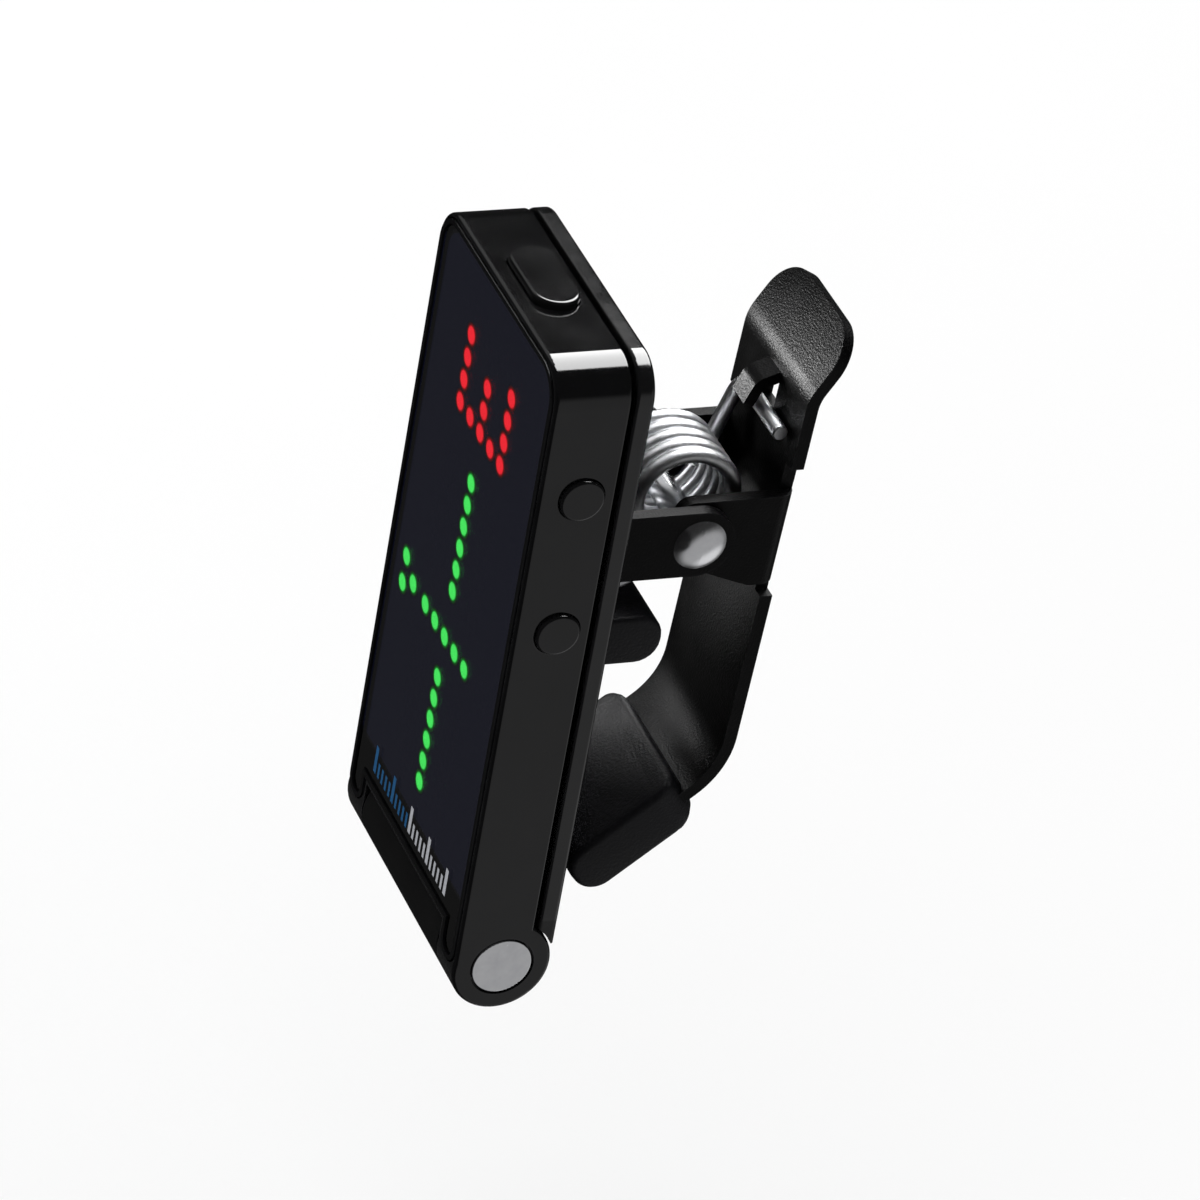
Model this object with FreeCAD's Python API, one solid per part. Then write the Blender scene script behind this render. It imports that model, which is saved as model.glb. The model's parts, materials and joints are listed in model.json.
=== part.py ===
import FreeCAD, Part
import math
import os

# Clip-on instrument tuner: a lit display unit that folds on a hinge along its lower end,
# a back plate that carries the hinge barrel, and a sprung steel clip behind the plate.
# Millimetres. +X runs across the display, +Y to the rear, +Z up along the display.
# The sub-parts are laid out from the centre of the hinge pin and then moved, so that the
# origin of the part is the centre of the fixed jaw's gripping face.

V = FreeCAD.Vector

# ---- driving dimensions ----
WIDTH = 24.0                 # display unit and back plate, side to side
TOP_Z = 51.9                 # top face above the hinge pin
KNUCKLE_R = 3.85             # hinge ears and barrel
CORNER_R = 3.0               # top corners, seen from the front
EDGE_R = 0.35                # outer edge rounding
GROOVE_R = 0.22              # rounding on both sides of the groove round the plate
HOUSING_FRONT_Y = -3.80
HOUSING_REAR_Y = 2.05
PLATE_FRONT_Y = 2.45
PLATE_REAR_Y = KNUCKLE_R

# display opening and its stack, front to rear
NOTCH_HALF = 8.5             # half width of the gap between the hinge ears
NOTCH_R = 4.15               # hollow round the barrel
NOTCH_FLOOR_Z = 2.3          # lower edge of the display front between the ears
EAR_FOOT_Z = -0.3            # lower end of the front opening on each ear
LIP = 0.30                   # housing lip round the front opening
SEAM = 0.12
BEZEL_RIM = 0.40
BEZEL_FRONT_Y = -3.92
LENS_FRONT_Y = -3.76
LEDGE_Y = -3.20              # ledge that the bezel and lens sit on
MASK_FRONT_Y = -3.15
BOARD_FRONT_Y = -2.50
BOARD_REAR_Y = -1.95
CAVITY_HALF = 10.9
CAVITY_FLOOR_Z = 5.3
CAVITY_TOP_Z = 50.7
REAR_WALL_Y = 1.45           # inner face of the rear wall
BOARD_HALF = 10.6
BOARD_LOW_Z = 5.6
BOARD_TOP_Z = CAVITY_TOP_Z - 1.1

# light points
DOT_R = 0.84
DOT_HOLE_GAP = 0.03
DOT_PITCH_X = 2.1
DOT_PITCH_Z = 1.88
NOTE_BASE_Z = 39.4           # lowest row of the note display
UPPER_BAR_Z = 25.65          # lowest row of the upper bar
MIDDLE_BAR_Z = 21.6
LOWER_BAR_Z = 8.6            # lowest row of the lower bar
POINTER_X = 8.15             # centre of each three-dot pointer

# what the circuit board carries
BOARD_SCREWS = ((-9.7, 47.4), (9.7, 47.4), (-9.7, 31.0))    # (x, z)
SCREW_HEAD_R = 1.0
SCREW_HEAD_HIGH = 0.35
SCREW_R = 0.5
SCREW_SLOT_HALF = 0.11
SCREW_BOSS_R = 1.3
# chips: x, z, half width, half length and height
CHIPS = ((-3.0, 42.8, 2.5, 2.5, 0.9), (4.2, 43.6, 1.6, 1.1, 0.8), (4.4, 34.6, 1.2, 2.0, 0.7),
         (-7.4, 37.2, 0.9, 0.5, 0.5), (-5.0, 37.2, 0.9, 0.5, 0.5), (-7.2, 41.6, 0.7, 1.4, 0.6))
SWITCH_REAR_Y = 0.9
SWITCH_HALF = 1.7            # half length of a side switch
SIDE_SWITCH_X = (6.9, 8.9)
POWER_SWITCH_Z = (46.9, 48.6)
POWER_SWITCH_HALF = 2.2
PLUNGER_R = 0.6
PIEZO_Z = 36.0
BRASS_R = 4.4
BRASS_THICK = 0.2
CERAMIC_R = 3.2
CERAMIC_THICK = 0.22

# coin cell and its round cover
CELL_Z = 17.2
CELL_R = 10.0
CELL_FRONT_Y = -1.78
CELL_THICKNESS = 3.2
COVER_R = 10.9
LUG_R = 11.45
LUG_HALF_DEG = 8.0
LUG_ENTRY_DEG = 35.0         # turn that brings the lugs to their way out
LUG_FRONT_Y = 0.95
LUG_THICK = 0.35
COIN_SLOT_HALF = 5.0
COIN_SLOT_R = 0.6
COIN_SLOT_DEEP = 0.28
NEGATIVE_FACE_R = 8.8
CONTACT_ARC_DEG = 24.0       # half angle of the strip beside the cell

# keys
KEY_Y = -0.5
SIDE_KEY_R = 1.7
SIDE_KEY_Z = (41.4, 29.9)
POWER_KEY_X = -0.3
POWER_KEY_HALF = 4.0
POWER_KEY_R = 1.85
KEY_GAP = 0.1
POWER_KEY_PROUD = 0.62
SIDE_KEY_PROUD = 0.38
KEY_RIM_R = 0.26
KEY_FLANGE_THICK = 0.5
KEY_STEM_R = 0.8

# hinge
PIN_R = 1.5
BARREL_HALF = 8.28
SLEEVE_R = 2.28
CAP_R = 2.35
CAP_SEAT_R = 2.5
CAP_DEPTH = 0.55
WASHER_R = 3.0
EAR_GAP = 0.12               # between the plate and the housing ears
PLATE_FOOT_Z = 1.7           # lower end of the plate behind each ear

# clip
SHEET = 1.0
PIVOT_Y = 11.8
PIVOT_Z = 33.3
PIVOT_R = 1.1
HEAD_R = 2.05
BRACKET_HALF = 7.35
BRACKET_LOW_Z = 1.6
EAR_R = 2.75
LEVER_HALF = 6.05
LEVER_TIP_HALF = 5.0
THUMB_R = 3.2
STRAP_BENDS = {1: 6.4, 2: 3.4}   # bend radius at each corner of the centre line
FLANGE_LOW_Z = 28.4         # lever flanges, with a relief notch above and below
FLANGE_TOP_Z = 36.05
RELIEF_LOW_Z = 27.3
RELIEF_TOP_Z = 38.3
FOLD_R = 1.2                 # outer radius of the bend from strap to flange
STRAP_LOW = (17.95, 11.8)    # (y, z) of the lower bend's corner
STRAP_HIGH = (19.35, 44.2)   # (y, z) of the thumb bend's corner
THUMB_END = (22.1, 49.0)
JAW_HALF = 6.4
PAD_FACE_Y = 6.25
PAD_TOP_Z = 22.4
SHELF_TOP_Z = 26.5
SHELF_NOSE_Y = 10.75
BOOT_CENTRE = (11.7, 6.3)    # (y, z) of the lever boot's middle
BOOT_SLOPE_DEG = 40.0
BOOT_LOW = 5.5               # boot length below and above its middle
BOOT_HIGH = 5.1
BOOT_HALF_THICK = 2.15
BOOT_NOSE_R = 1.9
BOOT_ROOT_R = 1.7            # rear edge of the root
BOOT_ROOT_FRONT_R = 0.6      # edge of the root on the gripping side
BOOT_SIDE_R = 0.5
PAD_EDGE_R = 0.6
SHELF_EDGE_R = 1.9
RIVET_PLACES = [(x, z) for x in (-4.6, 4.6) for z in (11.0, 29.0)]
RIVET_R = 1.0
RIVET_FRONT = (1.7, 0.55)    # countersink radius and depth at the plate
RIVET_REAR = (1.6, 0.45)     # the same at the bracket
RIVET_DOME = 0.62            # height of the pivot pin's heads
STOP_Z = (23.95, 24.95)      # flange under the pad's lip
STOP_HALF = 4.5
STOP_REAR_Y = 9.5
TONGUE = [(19.3, 43.25), (17.4, 42.55), (16.72, 40.9)]     # (y, z) down from the strap
TONGUE_THICK = 0.9
TONGUE_HALF = 1.1
WINDOW_Z = (40.2, 42.9)      # opening the tongue is pressed out of
WINDOW_HALF = 1.25

# torsion spring
WIRE_R = 0.6
COIL_R = 3.65
COIL_X = 0.43
COIL_Y = 12.05
COIL_Z = 34.65
COIL_PITCH = 1.26
COIL_TURNS = 5
UPPER_LEAVE_DEG = -20.0      # where the upper arm leaves the coil
LOWER_LEAVE_DEG = 295.7      # where the lower arm meets the coil
UPPER_ARM = 7.5
LOWER_ARM = 8.9
HOOK_END_X = 4.4
HOOK_BEND_R = 1.3
COIL_STEPS = 4               # curve segments in each turn of the coil

ORIGIN = V(0, PAD_FACE_Y, 0.5 * (BRACKET_LOW_Z + PAD_TOP_Z))


# ---- helpers ----
def box(x0, x1, y0, y1, z0, z1):
    return Part.makeBox(x1 - x0, y1 - y0, z1 - z0, V(x0, y0, z0))


def rod_x(radius, x0, x1, y=0.0, z=0.0):
    return Part.makeCylinder(radius, x1 - x0, V(x0, y, z), V(1, 0, 0))


def rod_y(radius, y0, y1, x=0.0, z=0.0):
    return Part.makeCylinder(radius, y1 - y0, V(x, y0, z), V(0, 1, 0))


def fuse(shapes):
    first = shapes[0]
    rest = shapes[1:]
    return first.multiFuse(rest).removeSplitter() if rest else first


def mirror_x(shape):
    return shape.mirror(V(0, 0, 0), V(1, 0, 0))


def lines_along(shape, direction, keep):
    """Straight edges parallel to direction whose middle passes keep(point)."""
    found = []
    for edge in shape.Edges:
        if not isinstance(edge.Curve, Part.Line):
            continue
        first, last = edge.Vertexes[0].Point, edge.Vertexes[-1].Point
        span = last.sub(first)
        if span.Length > 1e-6 and abs(span.normalize().dot(direction)) > 0.9999:
            middle = edge.valueAt(0.5 * (edge.FirstParameter + edge.LastParameter))
            if keep(middle):
                found.append(edge)
    return found


def profile_yz(points, x0, x1):
    """Prism along X with the outline given as (y, z) points."""
    corners = [V(x0, y, z) for y, z in points]
    face = Part.Face(Part.makePolygon(corners + corners[:1]))
    return face.extrude(V(x1 - x0, 0, 0))


def slab(y0, y1, front_round, rear_round):
    """Plate of the display's outline with round top corners and rounded outer edges."""
    half = 0.5 * WIDTH
    body = box(-half, half, y0, y1, 0, TOP_Z)
    corners = lines_along(body, V(0, 1, 0), lambda p: p.z > TOP_Z - 0.01)
    body = body.makeFillet(CORNER_R, corners)
    for y, radius in ((y0, front_round), (y1, rear_round)):
        rim = [e for e in body.Edges
               if e.BoundBox.YLength < 1e-6 and abs(e.BoundBox.YMin - y) < 1e-6
               and e.BoundBox.ZMax > 0.01]
        body = body.makeFillet(radius, rim)
    return body


def panel(inset, y0, y1, foot_z=EAR_FOOT_Z, floor_z=NOTCH_FLOOR_Z):
    """Display-front outline, inset from the housing's, with a tab down each ear."""
    half = 0.5 * WIDTH - inset
    top = TOP_Z - inset
    gap = NOTCH_HALF + inset
    foot = foot_z + inset
    floor = floor_z + inset
    outline = [(-half, foot), (-half, top), (half, top), (half, foot),
               (gap, foot), (gap, floor), (-gap, floor), (-gap, foot)]
    corners = [V(x, y0, z) for x, z in outline]
    body = Part.Face(Part.makePolygon(corners + corners[:1])).extrude(V(0, y1 - y0, 0))
    upright = V(0, 1, 0)
    tab_round = 0.46 * (half - gap)
    body = body.makeFillet(CORNER_R - inset, lines_along(body, upright, lambda p: p.z > top - 0.01))
    body = body.makeFillet(tab_round, lines_along(body, upright, lambda p: p.z < foot + 0.01))
    return body


def obround_z(half_length, radius, z0, z1):
    """Upright bar with round ends, long along X, centred on the power key."""
    straight = half_length - radius
    x0, x1 = POWER_KEY_X - straight, POWER_KEY_X + straight
    bar = box(x0, x1, KEY_Y - radius, KEY_Y + radius, z0, z1)
    ends = [Part.makeCylinder(radius, z1 - z0, V(x, KEY_Y, z0)) for x in (x0, x1)]
    return fuse([bar] + ends)


def dot_places():
    """Centres (x, z) of the light points: lit red, lit green and unlit."""
    columns = range(-2, 3)
    red, green, dark = [], [], []
    note_heights = {-2: 4, -1: 1, 0: 3, 1: 1, 2: 4}
    for column in columns:
        x = column * DOT_PITCH_X
        for row in range(5):
            lit = row < note_heights[column]
            (red if lit else dark).append((x, NOTE_BASE_Z + row * DOT_PITCH_Z))
        for base in (UPPER_BAR_Z, LOWER_BAR_Z):
            for row in range(6):
                (green if column == 0 else dark).append((x, base + row * DOT_PITCH_Z))
        green.append((x, MIDDLE_BAR_Z))
    for side, group in ((-1, green), (1, dark)):
        for across, up in ((0.65, 1.15), (0.65, -1.15), (-1.25, 0.0)):
            group.append((side * (POINTER_X + across), MIDDLE_BAR_Z + up))
    return red, green, dark


# ---- display unit ----
def display_housing():
    half = 0.5 * WIDTH
    body = slab(HOUSING_FRONT_Y, HOUSING_REAR_Y, EDGE_R, GROOVE_R)
    for side in (-1, 1):
        inner, outer = sorted((side * NOTCH_HALF, side * half))
        knuckle = rod_x(KNUCKLE_R, inner, outer)
        rim = [e for e in knuckle.Edges if e.BoundBox.XLength < 1e-6
               and abs(e.BoundBox.XMin - side * half) < 1e-6]
        body = body.fuse(knuckle.makeFillet(EDGE_R, rim))
    gap = rod_x(NOTCH_R, -NOTCH_HALF, NOTCH_HALF)
    below = box(-NOTCH_HALF, NOTCH_HALF, -6, 6, -6, NOTCH_FLOOR_Z)
    body = body.cut(fuse([gap, below]))
    body = body.cut(panel(LIP, -6, LEDGE_Y))
    cavity = box(-CAVITY_HALF, CAVITY_HALF, LEDGE_Y - 1, REAR_WALL_Y, CAVITY_FLOOR_Z, CAVITY_TOP_Z)
    cavity = cavity.makeFillet(2.0, lines_along(cavity, V(0, 1, 0), lambda p: p.z > CELL_Z))
    body = body.cut(cavity)
    for x, z in BOARD_SCREWS:
        boss = rod_y(SCREW_BOSS_R, BOARD_REAR_Y, REAR_WALL_Y, x, z)
        body = body.fuse(boss).cut(rod_y(SCREW_R + 0.02, BOARD_REAR_Y, REAR_WALL_Y - 0.4, x, z))
    body = body.cut(rod_y(COVER_R + 0.1, REAR_WALL_Y - 0.1, HOUSING_REAR_Y + 1, 0, CELL_Z))
    for turn in (90 + LUG_ENTRY_DEG, 270 + LUG_ENTRY_DEG):
        entry = ring_sector(COVER_R - 1, LUG_R + 0.15, LUG_HALF_DEG + 1.5, turn,
                            REAR_WALL_Y - 0.1, HOUSING_REAR_Y + 1)
        body = body.cut(entry)
    body = body.cut(obround_z(POWER_KEY_HALF + KEY_GAP, POWER_KEY_R + KEY_GAP,
                              CAVITY_TOP_Z - 1, TOP_Z + 1))
    for z in SIDE_KEY_Z:
        body = body.cut(rod_x(SIDE_KEY_R + KEY_GAP, CAVITY_HALF - 1, half + 1, KEY_Y, z))
    body = body.cut(rod_x(PIN_R + 0.02, -half - 1, half + 1))
    for side in (-1, 1):
        seat = sorted((side * (half - CAP_DEPTH), side * (half + 1)))
        body = body.cut(rod_x(CAP_SEAT_R, seat[0], seat[1]))
    return body.removeSplitter()


def front_bezel():
    """Thin raised rim between the housing lip and the lens."""
    outer = panel(LIP + SEAM, BEZEL_FRONT_Y, LEDGE_Y)
    inner = panel(LIP + SEAM + BEZEL_RIM, BEZEL_FRONT_Y - 1, LEDGE_Y + 1)
    return outer.cut(inner)


def display_lens():
    return panel(LIP + SEAM + BEZEL_RIM + SEAM, LENS_FRONT_Y, LEDGE_Y)


def light_mask():
    """Opaque sheet behind the lens: a hole for each light point, a pocket over each screw head."""
    body = box(-10.7, 10.7, MASK_FRONT_Y, BOARD_FRONT_Y, 5.5, CAVITY_TOP_Z - 0.2)
    body = body.makeFillet(2.0, lines_along(body, V(0, 1, 0), lambda p: p.z > CELL_Z))
    red, green, dark = dot_places()
    holes = [rod_y(DOT_R + DOT_HOLE_GAP, MASK_FRONT_Y - 1, BOARD_FRONT_Y + 1, x, z)
             for x, z in red + green + dark]
    pocket_y = BOARD_FRONT_Y - SCREW_HEAD_HIGH - 0.08
    holes += [rod_y(SCREW_HEAD_R + 0.15, pocket_y, BOARD_FRONT_Y + 1, x, z) for x, z in BOARD_SCREWS]
    return body.cut(Part.makeCompound(holes))


def light_dots(places):
    return Part.makeCompound([rod_y(DOT_R, MASK_FRONT_Y, BOARD_FRONT_Y, x, z) for x, z in places])


def circuit_board():
    """Board short of the power key at the top and notched beside each side key."""
    body = box(-BOARD_HALF, BOARD_HALF, BOARD_FRONT_Y, BOARD_REAR_Y, BOARD_LOW_Z, BOARD_TOP_Z)
    body = body.makeFillet(1.8, lines_along(body, V(0, 1, 0), lambda p: p.z > CELL_Z))
    for z in SIDE_KEY_Z:
        beside_key = SIDE_KEY_R + 0.4
        body = body.cut(box(CAVITY_HALF - 1.0, BOARD_HALF + 1, BOARD_FRONT_Y - 1, BOARD_REAR_Y + 1,
                            z - beside_key, z + beside_key))
    for x, z in BOARD_SCREWS:
        body = body.cut(rod_y(SCREW_R + 0.15, BOARD_FRONT_Y - 1, BOARD_REAR_Y + 1, x, z))
    return body


def circuit_chips():
    """Packages soldered to the rear of the board, above the coin cell."""
    return Part.makeCompound([
        box(x - half_x, x + half_x, BOARD_REAR_Y, BOARD_REAR_Y + high, z - half_z, z + half_z)
        for x, z, half_x, half_z, high in CHIPS])


def circuit_board_screws():
    screws = []
    for x, z in BOARD_SCREWS:
        head = rod_y(SCREW_HEAD_R, BOARD_FRONT_Y - SCREW_HEAD_HIGH, BOARD_FRONT_Y, x, z)
        shank = rod_y(SCREW_R, BOARD_FRONT_Y - 0.01, REAR_WALL_Y - 0.6, x, z)
        slot = box(x - 0.65, x + 0.65, BOARD_FRONT_Y - 1, BOARD_FRONT_Y - 0.5 * SCREW_HEAD_HIGH,
                   z - SCREW_SLOT_HALF, z + SCREW_SLOT_HALF)
        screws.append(head.fuse(shank).cut(slot))
    return Part.makeCompound(screws)


def side_switches():
    """Two side-acting switches on the board, one behind each side key."""
    switches = []
    for z in SIDE_KEY_Z:
        x0, x1 = SIDE_SWITCH_X
        case = box(x0, x1, BOARD_REAR_Y, SWITCH_REAR_Y, z - SWITCH_HALF, z + SWITCH_HALF)
        switches.append(case.fuse(rod_x(PLUNGER_R, x1 - 0.1, x1 + 0.35, KEY_Y, z)))
    return Part.makeCompound(switches)


def power_switch():
    low, high = POWER_SWITCH_Z
    case = box(POWER_KEY_X - POWER_SWITCH_HALF, POWER_KEY_X + POWER_SWITCH_HALF,
               BOARD_REAR_Y, SWITCH_REAR_Y, low, high)
    plunger = Part.makeCylinder(PLUNGER_R, 0.5, V(POWER_KEY_X, KEY_Y, high - 0.1))
    return case.fuse(plunger)


def piezo_disc():
    """Pick-up: a brass disc with a smaller ceramic disc, bonded inside the rear wall."""
    bond_y = REAR_WALL_Y - BRASS_THICK
    brass = rod_y(BRASS_R, bond_y, REAR_WALL_Y, 0, PIEZO_Z)
    ceramic = rod_y(CERAMIC_R, bond_y - CERAMIC_THICK, bond_y, 0, PIEZO_Z)
    return brass.fuse(ceramic)


def coin_cell():
    """Flat can with a stepped smaller negative face towards the board."""
    can = rod_y(CELL_R, CELL_FRONT_Y + 0.3, CELL_FRONT_Y + CELL_THICKNESS, 0, CELL_Z)
    edges = [e for e in can.Edges if isinstance(e.Curve, Part.Circle)]
    can = can.makeFillet(0.25, edges)
    return can.fuse(rod_y(NEGATIVE_FACE_R, CELL_FRONT_Y, CELL_FRONT_Y + 0.35, 0, CELL_Z))


def negative_contact():
    """Flat spring leaf on the board under the cell, with two pressed-out fingers."""
    leaf = box(-4.5, 4.5, BOARD_REAR_Y, BOARD_REAR_Y + 0.08, CELL_Z - 2.5, CELL_Z + 2.5)
    fingers = [box(-3.8, 3.8, BOARD_REAR_Y + 0.05, BOARD_REAR_Y + 0.15, z - 0.7, z + 0.7)
               for z in (CELL_Z - 1.4, CELL_Z + 1.4)]
    return fuse([leaf] + fingers)


def positive_contact():
    """Curved strip on the board that presses on the rim of the cell."""
    return ring_sector(CELL_R + 0.12, CELL_R + 0.42, CONTACT_ARC_DEG, 180.0, BOARD_REAR_Y, SWITCH_REAR_Y)


def ring_sector(inner_r, outer_r, half_deg, centre_deg, y0, y1):
    """Sector of a ring about the coin cell's axis; angles run from +X towards +Z."""
    start, end = (math.radians(centre_deg + s * half_deg) for s in (-1, 1))
    middle = math.radians(centre_deg)

    def at(radius, angle):
        return V(radius * math.cos(angle), y0, CELL_Z + radius * math.sin(angle))

    outline = Part.Wire([
        Part.Arc(at(outer_r, start), at(outer_r, middle), at(outer_r, end)).toShape(),
        Part.makeLine(at(outer_r, end), at(inner_r, end)),
        Part.Arc(at(inner_r, end), at(inner_r, middle), at(inner_r, start)).toShape(),
        Part.makeLine(at(inner_r, start), at(outer_r, start))])
    return Part.Face(outline).extrude(V(0, y1 - y0, 0))


def battery_cover():
    """Round cover flush with the rear, with a coin slot and two bayonet lugs."""
    body = rod_y(COVER_R, REAR_WALL_Y, HOUSING_REAR_Y, 0, CELL_Z)
    for turn in (90.0, 270.0):
        neck = ring_sector(CELL_R + 0.15, COVER_R - 0.02, LUG_HALF_DEG, turn,
                           LUG_FRONT_Y, REAR_WALL_Y + 0.1)
        lug = ring_sector(CELL_R + 0.15, LUG_R, LUG_HALF_DEG, turn, LUG_FRONT_Y, LUG_FRONT_Y + LUG_THICK)
        body = body.fuse(neck).fuse(lug)
    y0, y1 = HOUSING_REAR_Y - COIN_SLOT_DEEP, HOUSING_REAR_Y + 1
    slot = box(-COIN_SLOT_HALF, COIN_SLOT_HALF, y0, y1, CELL_Z - COIN_SLOT_R, CELL_Z + COIN_SLOT_R)
    ends = [rod_y(COIN_SLOT_R, y0, y1, x, CELL_Z) for x in (-COIN_SLOT_HALF, COIN_SLOT_HALF)]
    return body.cut(fuse([slot] + ends)).removeSplitter()


def power_button():
    """Key through the top face, held by a flange under it."""
    crown = TOP_Z + POWER_KEY_PROUD
    cap = obround_z(POWER_KEY_HALF, POWER_KEY_R, CAVITY_TOP_Z - 0.5, crown)
    rim = [e for e in cap.Edges if e.BoundBox.ZMin > crown - 1e-6]
    cap = cap.makeFillet(KEY_RIM_R, rim)
    top = CAVITY_TOP_Z - 0.1
    reach = POWER_KEY_HALF + 0.9
    flange = box(POWER_KEY_X - reach, POWER_KEY_X + reach, KEY_Y - 1.3, KEY_Y + POWER_KEY_R,
                 top - KEY_FLANGE_THICK, top)
    stem = Part.makeCylinder(KEY_STEM_R, 0.8, V(POWER_KEY_X, KEY_Y, CAVITY_TOP_Z - 1.25))
    return fuse([cap, flange, stem])


def side_button(z):
    """Round key through the side face, held by a flange inside it."""
    crown = 0.5 * WIDTH + SIDE_KEY_PROUD
    cap = rod_x(SIDE_KEY_R, CAVITY_HALF - 0.4, crown, KEY_Y, z)
    rim = [e for e in cap.Edges if e.BoundBox.XMin > crown - 1e-6]
    cap = cap.makeFillet(KEY_RIM_R, rim)
    outer = CAVITY_HALF - 0.1
    reach = SIDE_KEY_R + 0.6
    flange = box(outer - KEY_FLANGE_THICK, outer, KEY_Y - 1.2, KEY_Y + SIDE_KEY_R, z - reach, z + reach)
    stem = rod_x(KEY_STEM_R, CAVITY_HALF - 1.15, CAVITY_HALF - 0.5, KEY_Y, z)
    return fuse([cap, flange, stem])


# ---- hinge ----
def hinge_pin():
    reach = 0.5 * WIDTH - CAP_DEPTH - 0.03
    return rod_x(PIN_R, -reach, reach)


def hinge_caps():
    """Polished discs that close the two ears over the ends of the pin."""
    caps = []
    for side in (-1, 1):
        x0, x1 = sorted((side * (0.5 * WIDTH - CAP_DEPTH), side * (0.5 * WIDTH - 0.02)))
        disc = rod_x(CAP_R, x0, x1)
        face = side * (0.5 * WIDTH - 0.02)
        rim = [e for e in disc.Edges if e.BoundBox.XLength < 1e-6 and abs(e.BoundBox.XMin - face) < 1e-6]
        caps.append(disc.makeFillet(0.12, rim))
    return Part.makeCompound(caps)


def friction_sleeves():
    """Split-length bushes in the barrel that grip the pin lightly."""
    sleeve = rod_x(SLEEVE_R, 2.2, BARREL_HALF).cut(rod_x(PIN_R + 0.04, 2.0, BARREL_HALF + 1))
    return Part.makeCompound([sleeve, mirror_x(sleeve)])


def hinge_washers():
    washer = rod_x(WASHER_R, BARREL_HALF + 0.04, NOTCH_HALF - 0.04)
    washer = washer.cut(rod_x(PIN_R + 0.06, BARREL_HALF, NOTCH_HALF))
    return Part.makeCompound([washer, mirror_x(washer)])


def back_plate():
    """Rear plate with the hinge barrel along its lower end."""
    half = 0.5 * WIDTH
    body = slab(PLATE_FRONT_Y, PLATE_REAR_Y, GROOVE_R, EDGE_R)
    for side in (-1, 1):
        x0, x1 = sorted((side * BARREL_HALF, side * (half + 1)))
        body = body.cut(rod_x(KNUCKLE_R + EAR_GAP, x0, x1))
        body = body.cut(box(x0, x1, 0, PLATE_REAR_Y + 1, -1, PLATE_FOOT_Z))
    body = body.fuse(rod_x(KNUCKLE_R, -BARREL_HALF, BARREL_HALF))
    body = body.cut(rod_x(SLEEVE_R + 0.01, -BARREL_HALF - 1, BARREL_HALF + 1))
    return body.cut(Part.makeCompound(rivet_bodies())).removeSplitter()


# ---- clip ----
def rivet_bodies():
    """Flush rivets that hold the bracket to the plate, with a cone at each end."""
    rivets = []
    y0, y1 = PLATE_FRONT_Y, PLATE_REAR_Y + SHEET
    (front_r, front_deep), (rear_r, rear_deep) = RIVET_FRONT, RIVET_REAR
    for x, z in RIVET_PLACES:
        shank = rod_y(RIVET_R, y0, y1, x, z)
        front = Part.makeCone(front_r, RIVET_R, front_deep, V(x, y0, z), V(0, 1, 0))
        rear = Part.makeCone(RIVET_R, rear_r, rear_deep, V(x, y1 - rear_deep, z), V(0, 1, 0))
        rivets.append(fuse([shank, front, rear]))
    return rivets


def bracket_rivets():
    return Part.makeCompound(rivet_bodies())


def clip_bracket():
    """Folded sheet: base on the plate, two ears for the pivot, and a stop flange."""
    y0, y1 = PLATE_REAR_Y, PLATE_REAR_Y + SHEET
    body = box(-BRACKET_HALF, BRACKET_HALF, y0, y1, BRACKET_LOW_Z, PIVOT_Z + EAR_R)
    for side in (-1, 1):
        x0, x1 = sorted((side * (BRACKET_HALF - SHEET), side * BRACKET_HALF))
        arm = box(x0, x1, y0, PIVOT_Y, PIVOT_Z - EAR_R, PIVOT_Z + EAR_R)
        body = fuse([body, arm, rod_x(EAR_R, x0, x1, PIVOT_Y, PIVOT_Z)])
    outer = lines_along(body, V(0, 0, 1), lambda p: abs(p.y - y0) < 0.01 and abs(p.x) > BRACKET_HALF - 0.01)
    body = body.makeFillet(0.9, outer)
    inner_x = BRACKET_HALF - SHEET
    inner = lines_along(body, V(0, 0, 1), lambda p: abs(p.y - y1) < 0.01 and abs(abs(p.x) - inner_x) < 0.01)
    body = body.makeFillet(0.4, inner)
    flange = box(-STOP_HALF, STOP_HALF, y0 + 0.1, STOP_REAR_Y, STOP_Z[0], STOP_Z[1])
    body = body.fuse(flange)
    body = body.cut(rod_x(PIVOT_R + 0.01, -10, 10, PIVOT_Y, PIVOT_Z))
    return body.cut(Part.makeCompound(rivet_bodies())).removeSplitter()


def fixed_jaw_pad():
    """Rubber on the bracket: the gripping pad and a thick lip over the stop flange."""
    y0 = PLATE_REAR_Y + SHEET
    pad = box(-JAW_HALF, JAW_HALF, y0, PAD_FACE_Y, BRACKET_LOW_Z, SHELF_TOP_Z - 0.5)
    pad = pad.makeFillet(PAD_EDGE_R, lines_along(pad, V(0, 0, 1), lambda p: p.y > PAD_FACE_Y - 0.01))
    shelf = box(-JAW_HALF, JAW_HALF, y0, SHELF_NOSE_Y, PAD_TOP_Z, SHELF_TOP_Z)
    nose = lines_along(shelf, V(1, 0, 0), lambda p: p.y > SHELF_NOSE_Y - 0.01)
    shelf = shelf.makeFillet(SHELF_EDGE_R, nose)
    return fuse([pad, shelf]).cut(clip_bracket())


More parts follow.
